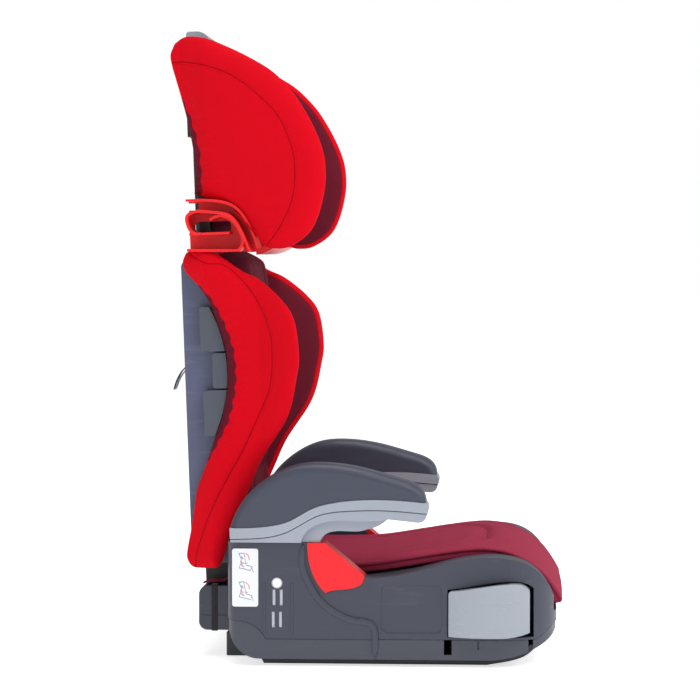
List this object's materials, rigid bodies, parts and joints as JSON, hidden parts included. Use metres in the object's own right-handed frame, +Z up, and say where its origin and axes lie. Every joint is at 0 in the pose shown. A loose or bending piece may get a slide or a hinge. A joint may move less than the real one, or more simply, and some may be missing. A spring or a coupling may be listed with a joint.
{
  "type": "high-back booster seat",
  "caption": "High-back booster seat with padded side wings, height-adjustable headrest, folding backrest, raising armrests and slide-out cup holders.",
  "frame": {"origin": "centre of the base's underside, on the surface that the seat stands on", "axes": "+Z up, -Y towards the front of the seat, +X to the seated child's left"},
  "size_m": [0.424, 0.4283, 0.6654],
  "materials": {
    "charcoal_plastic": "fine-grained satin moulding",
    "black_plastic": "moulded matt black",
    "steel": "zinc plated",
    "red_plastic": "semi-gloss moulding",
    "maroon_fabric": "plain woven polyester over foam",
    "red_fabric": "plain woven polyester over foam",
    "black_elastic": "woven elastic",
    "white_label": "printed film",
    "light_grey_plastic": "smooth satin moulding",
    "soft_grey_pad": "soft-touch matt skin",
    "arm_grey_plastic": "satin moulding",
    "blue_grey_plastic": "satin moulding with light scuffs",
    "natural_nylon": "plain nylon"
  },
  "bodies": {
    "base": {"base_top_shell": "charcoal_plastic", "base_bottom_shell": "charcoal_plastic", "base_floor_plate": "black_plastic", "rear_feet": "black_plastic", "base_screws": "steel", "pivot_lugs": "charcoal_plastic", "pivot_caps": "charcoal_plastic", "pivot_rod": "steel", "cup_pocket_left": "charcoal_plastic", "cup_pocket_right": "charcoal_plastic", "belt_guide_left": "red_plastic", "belt_guide_right": "red_plastic", "seat_pad": "maroon_fabric", "lug_straps": "black_elastic", "info_label": "white_label", "side_badges": "light_grey_plastic", "slit_inserts": "light_grey_plastic"},
    "armrest_left": {"arm_pad_left": "soft_grey_pad", "arm_band_left": "light_grey_plastic", "arm_lower_left": "arm_grey_plastic", "arm_post_left": "black_plastic", "arm_screws_left": "steel"},
    "armrest_right": {"arm_pad_right": "soft_grey_pad", "arm_band_right": "light_grey_plastic", "arm_lower_right": "arm_grey_plastic", "arm_post_right": "black_plastic", "arm_screws_right": "steel"},
    "cup_holder_left": {"cup_holder_left": "light_grey_plastic"},
    "cup_holder_right": {"cup_holder_right": "light_grey_plastic"},
    "backrest": {"back_shell": "blue_grey_plastic", "back_front_panel": "black_plastic", "height_rack": "natural_nylon", "back_hooks": "black_plastic", "wing_frame_left": "blue_grey_plastic", "wing_frame_right": "blue_grey_plastic", "back_pad": "maroon_fabric", "back_wing_left": "red_fabric", "back_wing_right": "red_fabric", "care_tag": "white_label", "back_screws": "steel"},
    "headrest": {"head_shell": "black_plastic", "head_mast": "black_plastic", "head_guide_left": "red_plastic", "head_guide_right": "red_plastic", "guide_bridge": "red_plastic", "head_pad": "maroon_fabric", "head_wing_left": "red_fabric", "head_wing_right": "red_fabric", "handle_bezel": "light_grey_plastic", "head_screws": "steel", "lever_springs": "steel"},
    "release_lever": {"release_lever": "red_plastic", "pull_rod": "natural_nylon"},
    "height_latch": {"height_latch": "natural_nylon", "latch_pin": "steel"}
  },
  "joints": [
    {"name": "backrest_recline", "type": "hinge", "parent": "base", "child": "backrest", "pos_m": [0, 0.168, 0.062], "axis": [-1, 0, 0], "range_deg": [0, 20]},
    {"name": "headrest_height", "type": "slide", "parent": "backrest", "child": "headrest", "axis": [0, 0.0363, 0.9993], "range_m": [0, 0.15]},
    {"name": "lever_pull", "type": "slide", "parent": "headrest", "child": "release_lever", "axis": [0, 0.0363, 0.9993], "range_m": [0, 0.005], "stiffness_N_per_m": 600, "springref_m": -0.004, "deforming": ["lever_springs"]},
    {"name": "latch_slide", "type": "slide", "parent": "headrest", "child": "height_latch", "axis": [0, -0.9993, 0.0363], "range_m": [0, 0.005]},
    {"name": "armrest_left_height", "type": "slide", "parent": "base", "child": "armrest_left", "axis": [0, 0, 1], "range_m": [0, 0.023]},
    {"name": "armrest_right_height", "type": "slide", "parent": "base", "child": "armrest_right", "axis": [0, 0, 1], "range_m": [0, 0.023]},
    {"name": "cup_holder_left_slide", "type": "slide", "parent": "base", "child": "cup_holder_left", "axis": [1, 0, 0], "range_m": [0, 0.078]},
    {"name": "cup_holder_right_slide", "type": "slide", "parent": "base", "child": "cup_holder_right", "axis": [-1, 0, 0], "range_m": [0, 0.078]}
  ],
  "couplings": [
    {"joint": "latch_slide", "follows": "lever_pull", "ratio": 1}
  ]
}
